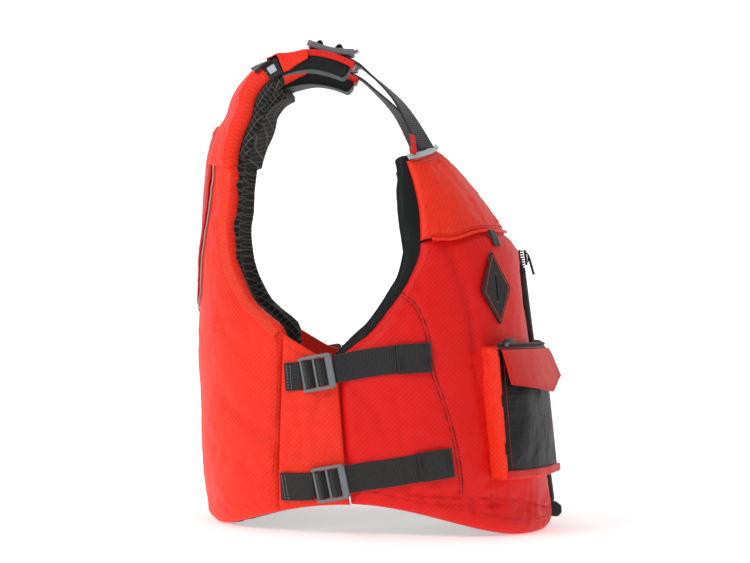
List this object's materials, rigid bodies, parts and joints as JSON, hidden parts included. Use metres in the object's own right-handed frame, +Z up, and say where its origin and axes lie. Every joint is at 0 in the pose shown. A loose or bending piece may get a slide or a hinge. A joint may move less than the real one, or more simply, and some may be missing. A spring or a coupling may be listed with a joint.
{
  "type": "life jacket",
  "caption": "Sleeveless foam life jacket with a front zip, box pockets, webbing side straps with ladder-lock buckles and padded adjustable shoulders.",
  "frame": {"origin": "under the middle of the whole jacket, on the surface that its hem stands on", "axes": "+Z up, the front with its zip faces -Y, the wearer's right is -X"},
  "size_m": [0.3974, 0.403, 0.5087],
  "materials": {
    "shell_cloth": "bright red-orange ripstop nylon",
    "flap_cloth": "red ripstop nylon, a shade darker",
    "foam": "closed-cell foam, hidden in its cloth",
    "satin_lining": "black satin lining",
    "mesh_lining": "black and grey open mesh over black cloth",
    "webbing": "black ribbed webbing",
    "buckle_plastic": "grey moulded plastic",
    "zip_parts": "black moulded zip",
    "reflective_tape": "pale grey reflective tape",
    "pocket_cloth": "black ripstop nylon",
    "tab_rubber": "charcoal moulded tab"
  },
  "bodies": {
    "back": {"back_shell": "shell_cloth", "back_foam": "foam", "back_mesh_lining": "mesh_lining", "back_hem_band": "shell_cloth", "back_yoke_flap": "flap_cloth", "back_reflective_piping": "reflective_tape", "right_side_panel": "shell_cloth", "right_shoulder_pad": "shell_cloth", "right_pad_lining": "satin_lining", "right_strap_sleeve": "shell_cloth", "right_upper_anchor": "webbing", "right_lower_anchor": "webbing", "left_side_panel": "shell_cloth", "left_shoulder_pad": "shell_cloth", "left_pad_lining": "satin_lining", "left_strap_sleeve": "shell_cloth", "left_upper_anchor": "webbing", "left_lower_anchor": "webbing"},
    "right_front": {"right_front_shell": "shell_cloth", "right_front_foam": "foam", "right_front_lining": "satin_lining", "right_front_hem_band": "shell_cloth", "right_front_yoke": "shell_cloth", "right_yoke_pad": "foam", "right_reflective_band": "reflective_tape", "right_shoulder_webbing": "webbing", "right_upper_strap": "webbing", "right_lower_strap": "webbing", "right_pocket": "pocket_cloth", "right_pocket_zip": "zip_parts", "right_lash_tab": "tab_rubber", "right_zip_half": "zip_parts"},
    "left_front": {"left_front_shell": "shell_cloth", "left_front_foam": "foam", "left_front_lining": "satin_lining", "left_front_hem_band": "shell_cloth", "left_front_yoke": "shell_cloth", "left_yoke_pad": "foam", "left_reflective_band": "reflective_tape", "left_shoulder_webbing": "webbing", "left_upper_strap": "webbing", "left_lower_strap": "webbing", "left_pocket": "pocket_cloth", "left_pocket_zip": "zip_parts", "left_lash_tab": "tab_rubber", "left_zip_half": "zip_parts", "zip_foot_tab": "zip_parts"},
    "right_pocket_flap": {"right_pocket_flap": "flap_cloth"},
    "right_pocket_slider": {"right_pocket_slider": "zip_parts"},
    "right_upper_buckle": {"right_upper_buckle": "buckle_plastic"},
    "right_lower_buckle": {"right_lower_buckle": "buckle_plastic"},
    "right_shoulder_buckle": {"right_shoulder_buckle": "buckle_plastic"},
    "left_pocket_flap": {"left_pocket_flap": "flap_cloth"},
    "left_pocket_slider": {"left_pocket_slider": "zip_parts"},
    "left_upper_buckle": {"left_upper_buckle": "buckle_plastic"},
    "left_lower_buckle": {"left_lower_buckle": "buckle_plastic"},
    "left_shoulder_buckle": {"left_shoulder_buckle": "buckle_plastic"},
    "zip_slider": {"zip_slider": "zip_parts"},
    "zip_pull": {"zip_pull": "zip_parts"}
  },
  "joints": [
    {"name": "right_front_swing", "type": "hinge", "parent": "back", "child": "right_front", "pos_m": [-0.1897, 0.0407, 0.186], "axis": [-0.2953, 0.0631, -0.9533], "range_deg": [0, 55]},
    {"name": "left_front_swing", "type": "hinge", "parent": "back", "child": "left_front", "pos_m": [0.1897, 0.0407, 0.186], "axis": [-0.2953, -0.0631, 0.9533], "range_deg": [0, 55]},
    {"name": "right_pocket_flap_lift", "type": "hinge", "parent": "right_front", "child": "right_pocket_flap", "pos_m": [-0.1741, -0.1318, 0.1953], "axis": [-0.9416, 0.3368, 0], "range_deg": [0, 115]},
    {"name": "right_pocket_slider_travel", "type": "slide", "parent": "right_front", "child": "right_pocket_slider", "axis": [0.9416, -0.3368, 0], "range_m": [0, 0.11]},
    {"name": "right_upper_buckle_tilt", "type": "hinge", "parent": "back", "child": "right_upper_buckle", "pos_m": [-0.1865, 0.0765, 0.1635], "axis": [-0.0294, -0.2064, -0.978], "range_deg": [0, 35]},
    {"name": "right_lower_buckle_tilt", "type": "hinge", "parent": "back", "child": "right_lower_buckle", "pos_m": [-0.1845, 0.06, 0.0509], "axis": [0.066, -0.2233, -0.9725], "range_deg": [0, 35]},
    {"name": "right_shoulder_buckle_tilt", "type": "hinge", "parent": "back", "child": "right_shoulder_buckle", "pos_m": [-0.098, 0.0828, 0.5043], "axis": [-1, 0, 0], "range_deg": [0, 35]},
    {"name": "left_pocket_flap_lift", "type": "hinge", "parent": "left_front", "child": "left_pocket_flap", "pos_m": [0.1741, -0.1318, 0.1953], "axis": [-0.9416, -0.3368, 0], "range_deg": [0, 115]},
    {"name": "left_pocket_slider_travel", "type": "slide", "parent": "left_front", "child": "left_pocket_slider", "axis": [-0.9416, -0.3368, 0], "range_m": [0, 0.11]},
    {"name": "left_upper_buckle_tilt", "type": "hinge", "parent": "back", "child": "left_upper_buckle", "pos_m": [0.1865, 0.0765, 0.1635], "axis": [-0.0294, 0.2064, 0.978], "range_deg": [0, 35]},
    {"name": "left_lower_buckle_tilt", "type": "hinge", "parent": "back", "child": "left_lower_buckle", "pos_m": [0.1845, 0.06, 0.0509], "axis": [0.066, 0.2233, 0.9725], "range_deg": [0, 35]},
    {"name": "left_shoulder_buckle_tilt", "type": "hinge", "parent": "back", "child": "left_shoulder_buckle", "pos_m": [0.098, 0.0828, 0.5043], "axis": [-1, 0, 0], "range_deg": [0, 35]},
    {"name": "zip_slider_travel", "type": "slide", "parent": "left_front", "child": "zip_slider", "axis": [0, -0.1515, -0.9885], "range_m": [0, 0.255]},
    {"name": "zip_pull_swing", "type": "hinge", "parent": "zip_slider", "child": "zip_pull", "pos_m": [0, -0.158, 0.2951], "axis": [-1, 0, 0], "range_deg": [0, 150]}
  ]
}
